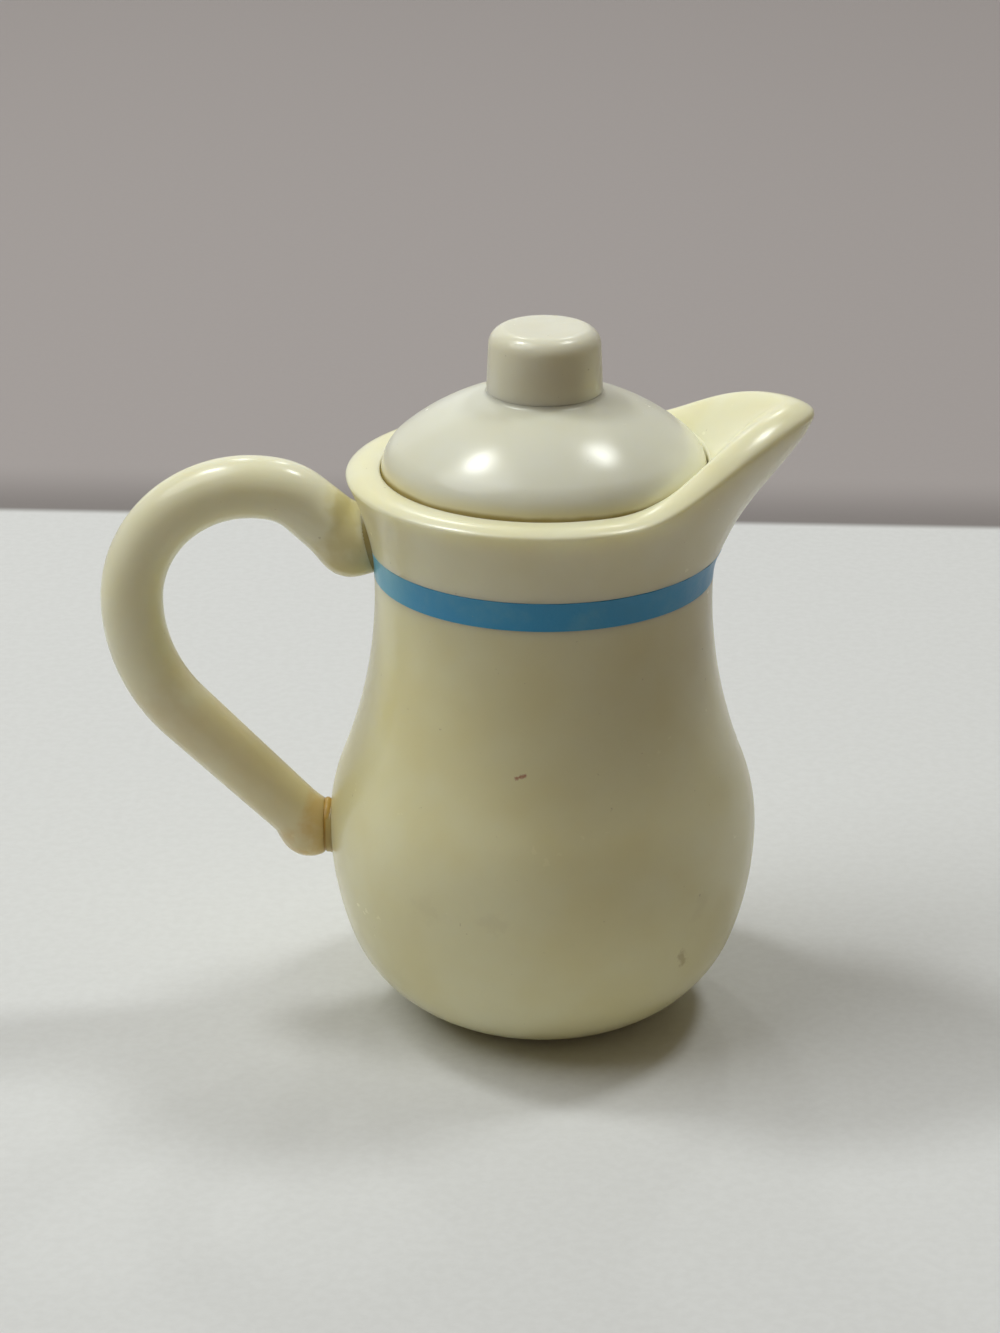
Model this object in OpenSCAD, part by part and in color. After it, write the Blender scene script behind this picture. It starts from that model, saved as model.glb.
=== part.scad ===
// Toy teapot in the form of a small lidded pitcher.
// A hollow bowl carries a collar with the rim and the spout, and their joint lies at the stripe.
// The spout points to +X, the handle to -X, and the base rests on Z = 0.

/* [Belly and neck] */
// Diameter at the widest point of the belly
belly_d = 32; // [30:0.5:35]
// Height of the widest point
belly_z = 14.75; // [13.5:0.25:16]
// Diameter of the flat base
base_d = 14; // [11:0.5:16]
// Angle at which the belly's side curve runs into its bottom curve
heel_angle = 19.5; // [17:0.5:22]
// Radius of the shoulder above the belly
shoulder_r = 14; // [12:0.5:16]
// Outer diameter at the narrowest point of the neck
neck_d = 24.8; // [24:0.2:25.6]
// Height of the narrowest point of the neck
neck_z = 33.6; // [32.6:0.2:34.6]
// Wall thickness of the bowl
wall_t = 1.8; // [1.4:0.1:2]
// Thickness of the floor
floor_t = 1.8; // [1.4:0.1:2.4]

/* [Collar joint] */
// Height of the bowl's spigot inside the collar
spigot_h = 1.8; // [1.4:0.1:2]
// Wall thickness of the collar around the spigot
socket_t = 1.1; // [0.9:0.1:1.3]

/* [Rim and mouth] */
// Outer diameter of the rim, away from the spout
rim_d = 28.9; // [28.6:0.1:29.6]
// Height of the rim above the narrowest point of the neck, away from the spout
rim_up = 9.25; // [8.75:0.05:10]
// Width of the rounded edge of the rim
lip_w = 1.3; // [1.1:0.1:1.5]
// Height of the rounded edge of the rim
lip_h = 0.7; // [0.6:0.05:0.8]
// Depth of the recess that the lid sits in
recess_depth = 1.25; // [1:0.05:1.6]
// Diameter of the mouth below the recess
mouth_d = 19.8; // [19:0.2:20.4]

/* [Spout] */
// Distance from the pot's axis to the end of the spout
spout_reach = 19.5; // [18.75:0.25:20.25]
// Rise of the spout's outer edge above that of the rim
spout_rise = 4.55; // [4:0.05:5]
// Share by which the rounded edge grows toward the end of the spout
lip_swell = 0.6; // [0.4:0.1:0.8]
// Angle from the middle of the spout at which it has run into the rim
spout_spread = 58; // [54:1:66]
// How fast the spout narrows toward its end
spout_taper = 2.2; // [1.9:0.1:2.4]
// Rounding of the spout's end, as an angle
tip_soft = 4.5; // [4:0.5:7]
// Angle from the middle of the spout at which its lip comes down to the rim
rise_spread = 67; // [62:1:76]

/* [Stripe] */
// Height of the stripe's lower edge above the narrowest point of the neck
stripe_up = 1.2; // [0.8:0.1:1.6]
// Width of the stripe
stripe_h = 2.2; // [1.8:0.1:2.6]
// Thickness of the printed stripe
stripe_t = 0.08; // [0.05:0.01:0.12]

/* [Handle] */
// Diameter of the handle
grip_d = 4.6; // [4.2:0.1:5]
// Distance from the pot's axis to the middle of the handle at its farthest
handle_reach = 30.35; // [29:0.25:32]
// How far the farthest point of the handle lies below the narrowest point of the neck
loop_drop = 1.5; // [0.8:0.1:2.4]
// Radius of the upper loop, to the middle of the handle
loop_r = 9; // [8.5:0.1:9.5]
// Sweep of the upper loop
loop_sweep = 101; // [96:1:106]
// Radius of the bend after the loop
crook_r = 4.8; // [4.2:0.1:5.4]
// Radius of the long bend below the loop
bend_r = 12.4; // [11.5:0.1:13.5]
// Diameter of the rounded upper end
upper_end_d = 5.2; // [5:0.1:5.4]
// Diameter of the rounded lower end
lower_end_d = 4.6; // [4.4:0.1:4.8]
// Height of the upper joint above the narrowest point of the neck
upper_joint_up = 3.6; // [3.4:0.1:4]
// Tilt of the upper joint, across the flare of the rim
upper_joint_tilt = 13; // [12:0.5:14]
// Height of the lower joint
lower_joint_z = 14; // [13.5:0.25:15.25]
// How far each boss stands out from the shell
boss_out = 0.3; // [0.3:0.05:0.5]
// Diameter of the pegs on the handle
peg_d = 2; // [1.8:0.1:2.2]
// Length of the pegs, from the boss face inwards
peg_l = 1.2; // [1:0.1:1.3]

/* [Lid] */
// Diameter of the lid
lid_d = 23.26; // [22.6:0.1:23.4]
// Height of the lid's upright edge
lid_edge_h = 1.1; // [0.8:0.1:1.4]
// Rise of the dome above the upright edge
dome_rise = 6.35; // [6:0.05:6.7]
// Radius where the dome turns into the upright edge
dome_edge_r = 3.1; // [2.8:0.1:3.4]
// Wall thickness of the lid
lid_t = 1.5; // [1.2:0.1:1.8]
// Length of the skirt that keeps the lid in the mouth
skirt_l = 2.4; // [1.6:0.2:3]
// Wall thickness of the skirt
skirt_t = 1.2; // [1:0.1:1.6]

/* [Knob] */
// Diameter of the knob at its foot
knob_d = 8.4; // [7.8:0.1:8.8]
// Diameter of the knob at its top edge
knob_top_d = 8; // [7.4:0.1:8.2]
// Height of the knob
knob_h = 4.4; // [3.8:0.1:5]
// Height of the knob's foot above the dome around it
knob_seat_h = 0.5; // [0.3:0.05:0.7]
// Rounding of the knob's top edge
knob_round = 1.3; // [0.8:0.1:1.6]
// Diameter of the stem that holds the knob in the lid
stem_d = 3; // [2.6:0.2:3.4]

/* [Fits] */
// Gap around the lid and its skirt
lid_gap = 0.3; // [0.2:0.05:0.4]
// Thickness of the glue between the handle and the bosses
glue_t = 0.3; // [0.25:0.05:0.4]
// Gap around the spigot, the pegs and the stem
peg_gap = 0.05; // [0.03:0.01:0.1]

/* [Hidden] */
$fn = 96;

cream = [0.91, 0.88, 0.75];
white = [0.92, 0.92, 0.87];
blue = [0.2, 0.5, 0.66];
amber = [0.62, 0.47, 0.2];

// Belly: side arc and bottom arc below the widest point, shoulder arc and hollow neck arc above it
belly_r = belly_d / 2;
base_r = base_d / 2;
neck_r = neck_d / 2;
rim_r = rim_d / 2;
side_r = 0.75 * belly_d;
side_c = [belly_r - side_r, belly_z];
heel_dir = [cos(heel_angle), -sin(heel_angle)];
heel_p = side_c + side_r * heel_dir;
heel_to_base = [base_r, 0] - heel_p;
bottom_r = -(heel_to_base * heel_to_base) / (2 * heel_to_base * heel_dir);
bottom_c = heel_p - bottom_r * heel_dir;
shoulder_c = [belly_r - shoulder_r, belly_z];
neck_rise = neck_z - belly_z;
neck_in = neck_r - shoulder_c.x;
hollow_r = (neck_in * neck_in + neck_rise * neck_rise - shoulder_r * shoulder_r)
    / (2 * (shoulder_r - neck_in));
hollow_c = [neck_r + hollow_r, neck_z];
turn_angle = atan2(neck_rise, hollow_c.x - shoulder_c.x);

// Lap between neighbouring pieces of a cross-section, and how far a cut runs past what it cuts
section_lap = 1;
over = 1;

// Flare from the neck to the rim
rim_z = neck_z + rim_up;
wall_top = rim_z - lip_h;
flare_rise = wall_top - neck_z;
flare_r = ((rim_r - neck_r) * (rim_r - neck_r) + flare_rise * flare_rise) / (2 * (rim_r - neck_r));
stripe_z = neck_z + stripe_up;
stripe_top = stripe_z + stripe_h;
spigot_r = neck_r - socket_t;
spigot_top = stripe_z + spigot_h;

// Mouth and lid seat
lid_r = lid_d / 2;
recess_r = lid_r + lid_gap;
crest_h = 0.1;
rim_edge_z = rim_z - crest_h;
ledge_z = rim_edge_z - recess_depth;
mouth_r = mouth_d / 2;

// Joints between handle and shell: point on the boss face, and the angle that turns Z outwards
upper_joint_z = neck_z + upper_joint_up;
upper_turn = -90 - upper_joint_tilt;
lower_turn = -90;
upper_boss = [-shell_r(upper_joint_z) - boss_out, upper_joint_z];
lower_boss = [-belly_side(lower_joint_z) - boss_out, lower_joint_z];
upper_out = [sin(upper_turn), cos(upper_turn)];
lower_out = [sin(lower_turn), cos(lower_turn)];
grip_r = grip_d / 2;
bar_lap = 0.3;
bar_step = 0.02;
upper_bar_step = 0.15;
lower_bar_step = 0.25;
boss_l = 1.2;
boss_step = 0.05;
peg_root = 0.5;
aim_l = 0.8;
upper_elbow_l = aim_l;
lower_elbow_l = 1.05;
upper_aim = upper_boss + (glue_t + aim_l) * upper_out;
lower_aim = lower_boss + (glue_t + aim_l) * lower_out;
upper_face_d = upper_end_d;
lower_face_d = sqrt(lower_end_d * lower_end_d - 4 * lower_elbow_l * lower_elbow_l);

// Middle line of the handle: loop, crook and long bend, with straight runs to the joints
loop_z = neck_z - loop_drop;
loop_c = [-handle_reach + loop_r, loop_z];
loop_end = 180 - loop_sweep;
crook_c = loop_c + (loop_r - crook_r) * [cos(loop_end), sin(loop_end)];
crook_end = tangent_angle(crook_c, crook_r, upper_aim, 1);
bend_c = [-handle_reach + bend_r, loop_z];
bend_end = 360 + tangent_angle(bend_c, bend_r, lower_aim, -1);

// Dome of the lid: crown arc, edge arc and the cove that runs up to the knob
dome_z = ledge_z + lid_edge_h;
edge_c = [lid_r - dome_edge_r, dome_z];
crown_r = (edge_c.x * edge_c.x + dome_rise * dome_rise - dome_edge_r * dome_edge_r)
    / (2 * (dome_rise - dome_edge_r));
crown_c = [0, dome_z + dome_rise - crown_r];
edge_angle = atan2(edge_c.y - crown_c.y, edge_c.x);
edge_meet = crown_c + crown_r * [cos(edge_angle), sin(edge_angle)];
knob_r = knob_d / 2;
knob_up = sqrt(crown_r * crown_r - knob_r * knob_r) + knob_seat_h;
knob_z = crown_c.y + knob_up;
stem_z = dome_z + dome_rise - lid_t;
cove_r = (knob_r * knob_r + knob_up * knob_up - crown_r * crown_r) / (2 * (crown_r - knob_r));
cove_c = [knob_r + cove_r, knob_z];
cove_angle = atan2(cove_c.y - crown_c.y, cove_c.x);
cove_meet = crown_c + crown_r * [cos(cove_angle), sin(cove_angle)];
skirt_r = mouth_r - lid_gap;

// Angles at which the rim and spout are drawn, closer together toward the spout's end
tip_steps = 10;
side_steps = 14;
back_steps = 15;
tip_angle = 20;
half_angles = concat(
    [for (i = [0:tip_steps]) tip_angle * pow(i / tip_steps, 1.5)],
    [for (i = [1:side_steps]) tip_angle + (90 - tip_angle) * i / side_steps],
    [for (i = [1:back_steps]) 90 + 90 * i / back_steps]
);
angles = concat(half_angles, [for (i = [len(half_angles) - 2:-1:1]) -half_angles[i]]);

// Rows of the collar's surface, and the powers that shape the spout
stripe_rows = 2;
wall_rows = 6;
lip_rows = 4;
lip_turn = 2 * atan(lip_h / lip_w);
crest_rise = spout_rise + lip_h * lip_swell;
scoop_rows = 5;
scoop_lap = 0.4;
scoop_ease = 0.8;
reach_power = 2.5;
rise_power = 1.3;

// Outer radius of the shell below the neck, and from the neck up
function belly_side(z) =
    z < belly_z
    ? side_c.x + sqrt(side_r * side_r - (z - belly_z) * (z - belly_z))
    : shoulder_c.x + sqrt(shoulder_r * shoulder_r - (z - belly_z) * (z - belly_z));
function shell_r(z) =
    z < neck_z
    ? hollow_c.x - sqrt(hollow_r * hollow_r - (z - neck_z) * (z - neck_z))
    : neck_r + flare_r - sqrt(flare_r * flare_r - (z - neck_z) * (z - neck_z));

// Angle of the point where a line from p touches a circle, on the side given
function tangent_angle(c, r, p, side) =
    atan2(p.y - c.y, p.x - c.x) + side * acos(r / norm(p - c));

// Angle that a bar's lap takes up on an arc
function lap_angle(r) = bar_lap / r * 180 / PI;

// Share of the spout's reach and of its rise at an angle from its middle
function taper(a) = pow(max(0, 1 - a / spout_spread), spout_taper);
function reach_share(a) = taper(sqrt(a * a + tip_soft * tip_soft)) / taper(tip_soft);
function rise_share(a) = abs(a) < rise_spread ? (1 + cos(180 * a / rise_spread)) / 2 : 0;

// Growth of the spout from the stripe up to the lip
function climb(z, from) = max(0, (z - from) / (wall_top - from));
function reach_at(z) = (spout_reach - rim_r) * sin(90 * pow(climb(z, stripe_z), reach_power));
function rise_at(z) = spout_rise * pow(climb(z, stripe_top), rise_power);

// One ring of the outer wall, set in by a distance
function wall_r(z, a) = shell_r(z) + reach_at(z) * reach_share(a);
function wall_ring(z, inset) = [
    for (a = angles)
        let (r = wall_r(z, a) - inset)
        [r * cos(a), r * sin(a), z + rise_at(z) * rise_share(a)]
];

// One ring of the rounded edge, at a turn from the vertical, which is 0 at its crest
function lip_size(a) = 1 + lip_swell * rise_share(a);
function lip_ring(turn) = [
    for (a = angles)
        let (
            r = wall_r(wall_top, a) - lip_w * lip_size(a) * (1 - sin(turn) / sin(lip_turn)),
            up = lip_h * lip_size(a) * (cos(turn) - cos(lip_turn)) / (1 - cos(lip_turn))
        )
        [r * cos(a), r * sin(a), wall_top + spout_rise * rise_share(a) + up]
];

// One ring of the scoop between the lip's crest (s = 0) and the lid's recess (s = 1)
function scoop_ring(s) = [
    for (a = angles)
        let (
            crest_r = wall_r(wall_top, a) - lip_w * lip_size(a),
            crest_up = crest_h + crest_rise * rise_share(a),
            r = crest_r + (recess_r - scoop_lap - crest_r) * s
        )
        [r * cos(a), r * sin(a), rim_edge_z + crest_up * (1 + cos(180 * pow(s, scoop_ease))) / 2]
];

// Rings of the collar from the stripe up the wall, over the lip and down to the recess
wall_heights = [for (i = [0:wall_rows]) stripe_top + (wall_top - stripe_top) * i / wall_rows];
stripe_heights = [for (i = [0:stripe_rows]) stripe_z + stripe_h * i / stripe_rows];
collar_rings = concat(
    [for (z = stripe_heights) wall_ring(z, stripe_t)],
    [for (z = wall_heights) wall_ring(z, 0)],
    [for (i = [1:lip_rows]) lip_ring(lip_turn * (1 - i / lip_rows))],
    [for (i = [1:scoop_rows]) scoop_ring(i / scoop_rows)]
);
stripe_rings = concat(
    [for (z = stripe_heights) wall_ring(z, 0)],
    [for (z = stripe_heights) wall_ring(z, stripe_t)]
);

function flat(rings) = [for (ring = rings) for (p = ring) p];

// Triangles between neighbouring rings
function sides(pairs) = [
    for (pair = pairs) for (j = [0:len(angles) - 1])
        let (
            k = (j + 1) % len(angles),
            low = pair[0] * len(angles),
            high = pair[1] * len(angles)
        )
        each [[low + j, high + j, high + k], [low + j, high + k, low + k]]
];

// The same triangles seen from the other side
function flipped(faces) = [for (f = faces) [f[2], f[1], f[0]]];

// Collar as a filled body, before its bores are cut
module collar_loft() {
    rows = len(collar_rings);
    cols = len(angles);
    bottom = [for (j = [0:cols - 1]) j];
    top = [for (j = [cols - 1:-1:0]) (rows - 1) * cols + j];
    polyhedron(
        points = flat(collar_rings),
        faces = concat(sides([for (i = [0:rows - 2]) [i, i + 1]]), [bottom, top]),
        convexity = 6
    );
}

// Cross-section of the bowl up to the neck, set in by a distance, from a floor height up
module bowl_section(inset, from) {
    heel_z = belly_z - (side_r - inset) * sin(heel_angle);
    turn_z = belly_z + (shoulder_r - inset) * sin(turn_angle);
    translate([0, from])
        square([bottom_c.x, heel_z - from]);
    intersection() {
        translate(bottom_c)
            circle(bottom_r - inset);
        translate([0, from])
            square([belly_d, heel_z + section_lap - from]);
    }
    intersection() {
        translate(side_c)
            circle(side_r - inset);
        translate([0, heel_z])
            square([belly_d, belly_z - heel_z]);
    }
    intersection() {
        translate(shoulder_c)
            circle(shoulder_r - inset);
        translate([0, belly_z - section_lap])
            square([belly_d, turn_z - belly_z + 2 * section_lap]);
    }
    difference() {
        translate([0, turn_z])
            square([belly_d, neck_z - turn_z]);
        translate(hollow_c)
            circle(hollow_r + inset);
    }
}

// Moves a shape to a joint of the handle, with Z pointing out of the shell
module at_joint(p, turn) {
    translate([p.x, 0, p.y])
        rotate([0, turn, 0])
            children();
}

// Boss that an end of the handle is glued to
module boss(p, turn, face_d) {
    at_joint(p, turn)
        translate([0, 0, -boss_l])
            cylinder(h = boss_l, d = face_d - 2 * boss_step);
}

// Blind hole for a peg of the handle
module socket(p, turn) {
    at_joint(p, turn)
        translate([0, 0, -peg_l - 2 * peg_gap])
            cylinder(h = peg_l + over, d = peg_d + 2 * peg_gap);
}

module bowl() {
    color(cream)
        difference() {
            union() {
                rotate_extrude() {
                    bowl_section(0, 0);
                    difference() {
                        translate([0, neck_z])
                            square([belly_r, stripe_z - neck_z]);
                        translate([neck_r + flare_r, neck_z])
                            circle(flare_r);
                    }
                    translate([0, stripe_z])
                        square([spigot_r, spigot_h]);
                }
                boss(lower_boss, lower_turn, lower_face_d);
            }
            rotate_extrude() {
                bowl_section(wall_t, floor_t);
                polygon([
                    [0, neck_z - section_lap],
                    [neck_r - wall_t, neck_z - section_lap],
                    [neck_r - wall_t, neck_z],
                    [mouth_r, spigot_top],
                    [mouth_r, spigot_top + over],
                    [0, spigot_top + over]
                ]);
            }
            socket(lower_boss, lower_turn);
        }
}

module collar() {
    color(cream)
        difference() {
            union() {
                collar_loft();
                boss(upper_boss, upper_turn, upper_face_d);
            }
            translate([0, 0, stripe_z - over])
                cylinder(h = spigot_h + over + peg_gap, r = spigot_r + peg_gap);
            translate([0, 0, stripe_z])
                cylinder(h = rim_z - stripe_z, r = mouth_r);
            translate([0, 0, ledge_z])
                cylinder(h = recess_depth + crest_rise + over, r = recess_r);
            socket(upper_boss, upper_turn);
        }
}

// Printed stripe around the neck, left open at the upper boss
module stripe() {
    color(blue)
        difference() {
            polyhedron(
                points = flat(stripe_rings),
                faces = concat(sides([[0, 1], [1, 2], [2, 5], [3, 0]]), flipped(sides([[3, 4], [4, 5]]))),
                convexity = 6
            );
            at_joint(upper_boss, upper_turn)
                translate([0, 0, -2 * boss_l])
                    cylinder(h = 2 * boss_l + over, d = upper_face_d + 2 * boss_step);
        }
}

// Round bar along an arc in the handle's plane
module bent_bar(c, r, from, to, bar_r) {
    translate([c.x, 0, c.y])
        rotate([90, 0, 0])
            rotate([0, 0, from])
                rotate_extrude(angle = to - from)
                    translate([r, 0])
                        circle(bar_r);
}

// Tapered bar from a point just inside the end of an arc to the elbow at the joint
module straight_bar(c, r, angle, p, tip_r) {
    end = c + r * [cos(angle), sin(angle)];
    run = p - end;
    start = end - bar_lap * run / norm(run);
    translate([start.x, 0, start.y])
        rotate([0, atan2(run.x, run.y), 0])
            cylinder(h = norm(run) + bar_lap, r1 = grip_r - 3 * bar_step, r2 = tip_r);
}

// Rounded elbow at an end of the handle
module elbow(p, turn, end_d, elbow_l) {
    at_joint(p, turn)
        translate([0, 0, glue_t + elbow_l])
            sphere(d = end_d);
}

// Short stub between the upper elbow and its boss
module upper_stub() {
    at_joint(upper_boss, upper_turn)
        cylinder(h = glue_t + upper_elbow_l, d = upper_face_d - 2 * bar_step);
}

// What is cut away so that the end of the handle is flat at the joint
module end_cut(p, turn) {
    at_joint(p, turn)
        translate([-grip_d, -grip_d, glue_t - 2 * grip_d])
            cube(2 * grip_d);
}

module peg(p, turn) {
    at_joint(p, turn)
        translate([0, 0, -peg_l])
            cylinder(h = peg_l + glue_t + peg_root, d = peg_d);
}

module handle() {
    color(cream) {
        difference() {
            union() {
                bent_bar(loop_c, loop_r, loop_end, 180, grip_r);
                bent_bar(crook_c, crook_r, crook_end, loop_end + lap_angle(crook_r), grip_r - bar_step);
                bent_bar(bend_c, bend_r, 180 - lap_angle(bend_r), bend_end, grip_r - bar_step);
                straight_bar(crook_c, crook_r, crook_end, upper_aim, upper_end_d / 2 - upper_bar_step);
                straight_bar(bend_c, bend_r, bend_end, lower_aim, lower_end_d / 2 - lower_bar_step);
                elbow(upper_boss, upper_turn, upper_end_d, upper_elbow_l);
                elbow(lower_boss, lower_turn, lower_end_d, lower_elbow_l);
                upper_stub();
            }
            end_cut(upper_boss, upper_turn);
            end_cut(lower_boss, lower_turn);
        }
        peg(upper_boss, upper_turn);
        peg(lower_boss, lower_turn);
    }
}

// Glue squeezed out between a boss and the end of the handle
module glue_ring(p, turn, face_d) {
    color(amber)
        at_joint(p, turn)
            difference() {
                cylinder(h = glue_t, d = face_d - 4 * boss_step);
                translate([0, 0, -over])
                    cylinder(h = glue_t + 2 * over, d = peg_d + 2 * peg_gap);
            }
}

module upper_glue() {
    glue_ring(upper_boss, upper_turn, upper_face_d);
}

module lower_glue() {
    glue_ring(lower_boss, lower_turn, lower_face_d);
}

// Cross-section of the dome, set in by a distance, from the ledge up
module dome_section(inset) {
    meet_r = edge_meet.x - inset * cos(edge_angle);
    translate([0, ledge_z])
        square([lid_r - inset, lid_edge_h]);
    intersection() {
        translate(edge_c)
            circle(dome_edge_r - inset);
        translate([meet_r, dome_z])
            square([lid_d, dome_rise]);
    }
    intersection() {
        translate(crown_c)
            circle(crown_r - inset);
        translate([0, dome_z])
            square([meet_r, dome_rise + over]);
    }
}

module lid() {
    color(white)
        rotate_extrude()
            difference() {
                union() {
                    dome_section(0);
                    difference() {
                        translate([0, dome_z])
                            square([cove_meet.x, knob_z - dome_z]);
                        translate(cove_c)
                            circle(cove_r);
                    }
                    translate([skirt_r - skirt_t, ledge_z - skirt_l])
                        square([skirt_t, skirt_l + lid_edge_h]);
                }
                intersection() {
                    dome_section(lid_t);
                    translate([0, ledge_z - over])
                        square([skirt_r - skirt_t, dome_rise + lid_edge_h + over]);
                }
                translate([0, ledge_z])
                    square([stem_d / 2 + peg_gap, knob_z - ledge_z + over]);
                translate([0, knob_z])
                    square([knob_r, over]);
            }
}

module knob() {
    top_r = knob_top_d / 2;
    color(white)
        rotate_extrude() {
            difference() {
                polygon([
                    [0, knob_z],
                    [knob_r, knob_z],
                    [top_r, knob_z + knob_h - knob_round],
                    [top_r, knob_z + knob_h],
                    [0, knob_z + knob_h]
                ]);
                difference() {
                    translate([top_r - knob_round, knob_z + knob_h - knob_round])
                        square([2 * knob_round, 2 * knob_round]);
                    translate([top_r - knob_round, knob_z + knob_h - knob_round])
                        circle(knob_round);
                }
            }
            translate([0, stem_z])
                square([stem_d / 2, knob_z + peg_root - stem_z]);
        }
}

bowl();
collar();
stripe();
handle();
upper_glue();
lower_glue();
lid();
knob();
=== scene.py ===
import math

import bmesh
import bpy
import numpy as np
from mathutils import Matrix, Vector


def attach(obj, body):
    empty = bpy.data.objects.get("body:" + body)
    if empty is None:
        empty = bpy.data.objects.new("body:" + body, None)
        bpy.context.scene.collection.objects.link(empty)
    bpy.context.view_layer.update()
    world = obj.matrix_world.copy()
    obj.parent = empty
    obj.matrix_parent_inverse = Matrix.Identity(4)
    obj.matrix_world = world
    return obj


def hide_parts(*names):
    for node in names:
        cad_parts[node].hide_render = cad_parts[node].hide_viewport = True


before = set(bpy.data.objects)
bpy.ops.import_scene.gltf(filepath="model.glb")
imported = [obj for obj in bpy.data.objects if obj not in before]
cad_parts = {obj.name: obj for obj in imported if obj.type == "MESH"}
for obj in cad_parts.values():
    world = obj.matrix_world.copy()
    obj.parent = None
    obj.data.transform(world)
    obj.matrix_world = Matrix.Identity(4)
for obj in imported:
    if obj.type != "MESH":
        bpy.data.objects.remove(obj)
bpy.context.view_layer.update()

# All sizes are in millimetres, in the frame of the CAD model, and become metres when a mesh is made.
MM = 0.001
SEGMENTS = 192
SHARP_ANGLE = math.radians(38)

# Belly and neck
BELLY_R = 16.0
BELLY_Z = 14.75
BASE_R = 7.0
HEEL_ANGLE = 19.5
SIDE_R = 1.5 * BELLY_R
SHOULDER_R = 14.0
NECK_R = 12.4
NECK_Z = 33.6
WALL_T = 1.8
FLOOR_T = 1.8

# Rim, mouth and the joint between bowl and collar
RIM_R = 14.45
RIM_Z = NECK_Z + 9.25
LIP_W = 1.3
LIP_H = 0.45
LIP_SWELL = 0.6
LIP_TURN = 2 * math.atan(LIP_H / LIP_W)
WALL_TOP = RIM_Z - LIP_H
CREST_H = 0.1
RIM_EDGE_Z = RIM_Z - CREST_H
LEDGE_Z = RIM_EDGE_Z - 1.25
MOUTH_R = 9.9
SPIGOT_R = NECK_R - 1.1
SPIGOT_H = 1.8
FIT_GAP = 0.05

# Spout
SPOUT_REACH = 19.5
SPOUT_RISE = 4.7
CREST_RISE = SPOUT_RISE + LIP_H * LIP_SWELL
SPOUT_SPREAD = 58.0
SPOUT_TAPER = 2.2
TIP_SOFT = 4.5
RISE_SPREAD = 67.0
REACH_POWER = 2.5
RISE_POWER = 1.3
SCOOP_LAP = 0.4
SCOOP_POWER = 1.45
COLUMN_POWER = 1.3
WALL_SOFT = 0.2
LIP_START = 0.85 * LIP_TURN
RECESS_EDGE_R = 0.16

# Stripe
STRIPE_Z = NECK_Z + 1.2
STRIPE_TOP = STRIPE_Z + 2.2
STRIPE_T = 0.08

# Handle
GRIP_R = 2.3
HANDLE_REACH = 30.35
LOOP_Z = NECK_Z - 1.5
LOOP_R = 9.0
LOOP_SWEEP = 101.0
CROOK_R = 4.8
BEND_R = 12.4
UPPER_END_R = 2.6
LOWER_END_R = 2.3
UPPER_BAR_STEP = 0.15
LOWER_BAR_STEP = 0.25
UPPER_JOINT_Z = NECK_Z + 3.6
UPPER_JOINT_TILT = 13.0
LOWER_JOINT_Z = 14.0
UPPER_PIVOT_UP = 3.7
LOWER_PIVOT_UP = 2.75
UPPER_SINK = 0.6
LOWER_SINK = 0.14
BOSS_OUT = 0.3
BOSS_L = 1.2
BOSS_STEP = 0.05
BOSS_EDGE = 0.1
UPPER_COVE_R = 0.05
LOWER_COVE_R = 0.9
GLUE_T = 0.3
AIM_L = 0.8
UPPER_ELBOW_L = AIM_L
LOWER_ELBOW_L = 1.05
UPPER_FACE_R = UPPER_END_R
LOWER_FACE_R = math.sqrt(LOWER_END_R**2 - LOWER_ELBOW_L**2)
PEG_HOLE_R = 1.05
UPPER_GLUE_R = UPPER_FACE_R - 0.02
UPPER_GLUE_BACK = 1.0
LOWER_GLUE_R = LOWER_FACE_R - 0.13
LOWER_GLUE_BACK = 0.45
LOWER_GLUE_BULGE = 0.01
LOWER_GLUE_FILL = 0.3

# Lid and knob
LID_R = 11.83
LID_GAP = 0.06
SKIRT_GAP = 0.3
RECESS_R = LID_R + LID_GAP
LID_EDGE_H = 1.1
DOME_Z = LEDGE_Z + LID_EDGE_H
DOME_RISE = 6.35
DOME_EDGE_R = 3.1
LID_T = 1.5
SKIRT_R = MOUTH_R - SKIRT_GAP
SKIRT_T = 1.2
SKIRT_L = 2.4
KNOB_R = 4.2
KNOB_TOP_R = 4.0
KNOB_H = 4.64
KNOB_SEAT_H = 0.25
KNOB_ROUND = 1.3
STEM_R = 1.5


def unit(v):
    """The vector at length 1."""
    return np.asarray(v, float) / np.linalg.norm(v)


def polar(center, radius, degrees):
    """A point at an angle on a circle in the (r, z) plane."""
    a = math.radians(degrees)
    return np.array((center[0] + radius * math.cos(a), center[1] + radius * math.sin(a)))


def arc(center, radius, start, end, steps):
    """Points along an arc in the (r, z) plane, both ends included."""
    return [polar(center, radius, a) for a in np.linspace(start, end, steps + 1)]


def rounded(corners, steps=5):
    """Points along a line through corners (r, z, fillet radius), each rounded by an arc."""
    points = []
    for i, (r, z, fillet) in enumerate(corners):
        p = np.array((r, z), float)
        if fillet == 0:
            points.append(p)
            continue
        back = unit(np.array(corners[i - 1][:2]) - p)
        ahead = unit(np.array(corners[i + 1][:2]) - p)
        half = math.acos(np.clip(back @ ahead, -1, 1)) / 2
        center = p + unit(back + ahead) * fillet / math.sin(half)
        first = p + back * fillet / math.tan(half) - center
        last = p + ahead * fillet / math.tan(half) - center
        turn = math.pi - 2 * half
        for k in range(steps + 1):
            t = k / steps
            spoke = math.sin((1 - t) * turn) * first + math.sin(t * turn) * last
            points.append(center + spoke / math.sin(turn))
    return points


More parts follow.
